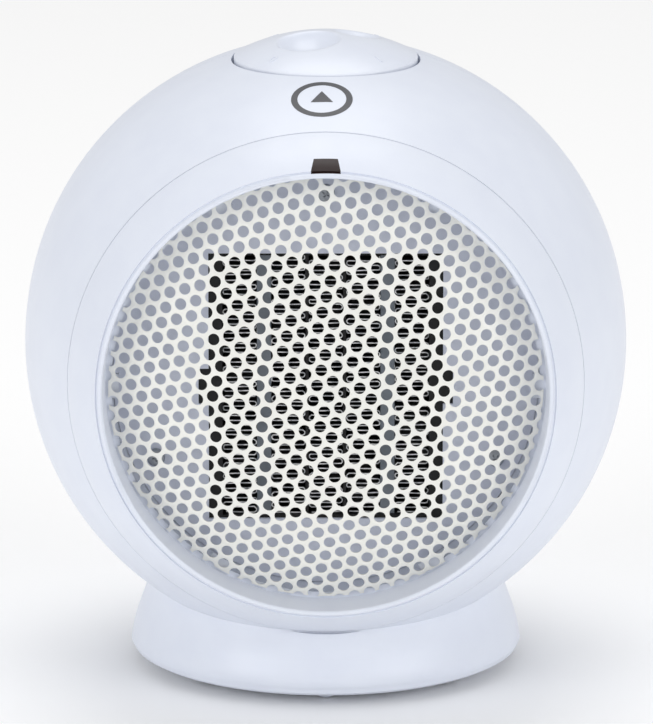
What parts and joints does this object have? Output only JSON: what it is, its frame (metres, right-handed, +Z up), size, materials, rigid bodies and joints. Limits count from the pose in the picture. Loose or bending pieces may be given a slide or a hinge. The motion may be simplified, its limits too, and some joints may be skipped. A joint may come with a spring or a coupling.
{
  "type": "ceramic fan heater",
  "caption": "Compact ceramic fan heater with a ball-shaped body on a round foot, a perforated domed outlet grille, a turning control knob on top and a tip-over switch underneath.",
  "frame": {"origin": "on the floor under the middle of the ball-shaped body", "axes": "+Z up, the outlet grille faces -Y, +X is the heater's left side seen from behind the outlet"},
  "size_m": [0.2, 0.1681, 0.2147],
  "materials": {
    "white_plastic": "fine satin",
    "grille_white": "satin powder coat",
    "baffle_grey": "matte blue-grey",
    "frame_black": "matte heat-proof",
    "fin_metal": "rolled strip",
    "ptc_dark": "dark coated bar",
    "spring_steel": "plain",
    "screw_steel": "zinc plated",
    "fan_black": "satin",
    "motor_steel": "plain",
    "knob_white": "satin",
    "lens_red": "dark red clear",
    "lamp_glass": "clear",
    "rubber_black": "matte",
    "iron_weight": "plain",
    "switch_black": "matte"
  },
  "bodies": {
    "housing": {"baffle_plate": "baffle_grey", "baffle_screw_1": "screw_steel", "baffle_screw_2": "screw_steel", "baffle_screw_3": "screw_steel", "ballast": "iron_weight", "base_plate": "white_plastic", "bezel_ring": "white_plastic", "control_tray": "white_plastic", "cord_gland": "rubber_black", "element_frame": "frame_black", "fan_duct": "fan_black", "fin_column_1": "fin_metal", "fin_column_2": "fin_metal", "fin_column_3": "fin_metal", "fin_column_4": "fin_metal", "fin_column_5": "fin_metal", "foot_screw_1": "screw_steel", "foot_screw_2": "screw_steel", "foot_screw_3": "screw_steel", "foot_screw_4": "screw_steel", "foot_shell": "white_plastic", "front_shell": "white_plastic", "joint_plate_1": "fin_metal", "joint_plate_2": "fin_metal", "motor_body": "motor_steel", "motor_bracket": "motor_steel", "motor_screw_1": "screw_steel", "motor_screw_2": "screw_steel", "outlet_grille": "grille_white", "pilot_lamp": "lamp_glass", "pilot_lens": "lens_red", "ptc_bar_1": "ptc_dark", "ptc_bar_2": "ptc_dark", "rear_grille": "white_plastic", "rear_shell": "white_plastic", "rotary_switch": "switch_black", "rubber_foot_1": "rubber_black", "rubber_foot_2": "rubber_black", "rubber_foot_3": "rubber_black", "rubber_foot_4": "rubber_black", "rubber_foot_5": "rubber_black", "shell_screw_1": "screw_steel", "shell_screw_2": "screw_steel", "shell_screw_3": "screw_steel", "shell_screw_4": "screw_steel", "switch_nut": "screw_steel", "thermal_cutout": "motor_steel", "thermal_fuse": "motor_steel", "tip_spring": "spring_steel", "tip_switch": "switch_black"},
    "knob_body": {"knob": "knob_white", "switch_spindle": "motor_steel"},
    "fan_rotor": {"impeller": "fan_black", "motor_shaft": "motor_steel"},
    "plunger": {"tip_plunger": "switch_black"}
  },
  "joints": [
    {"name": "knob_turn", "type": "hinge", "parent": "housing", "child": "knob_body", "pos_m": [0, -0.0037, 0.2], "axis": [0, 0, 1], "range_deg": [0, 270]},
    {"name": "fan_spin", "type": "hinge", "parent": "housing", "child": "fan_rotor", "pos_m": [0, 0, 0.111], "axis": [0, 1, 0], "continuous": true},
    {"name": "tip_plunger_slide", "type": "slide", "parent": "housing", "child": "plunger", "axis": [0, 0, -1], "range_m": [0, 0.0023], "stiffness_N_per_m": 60, "springref_m": 0.0045, "deforming": ["tip_spring"]}
  ]
}
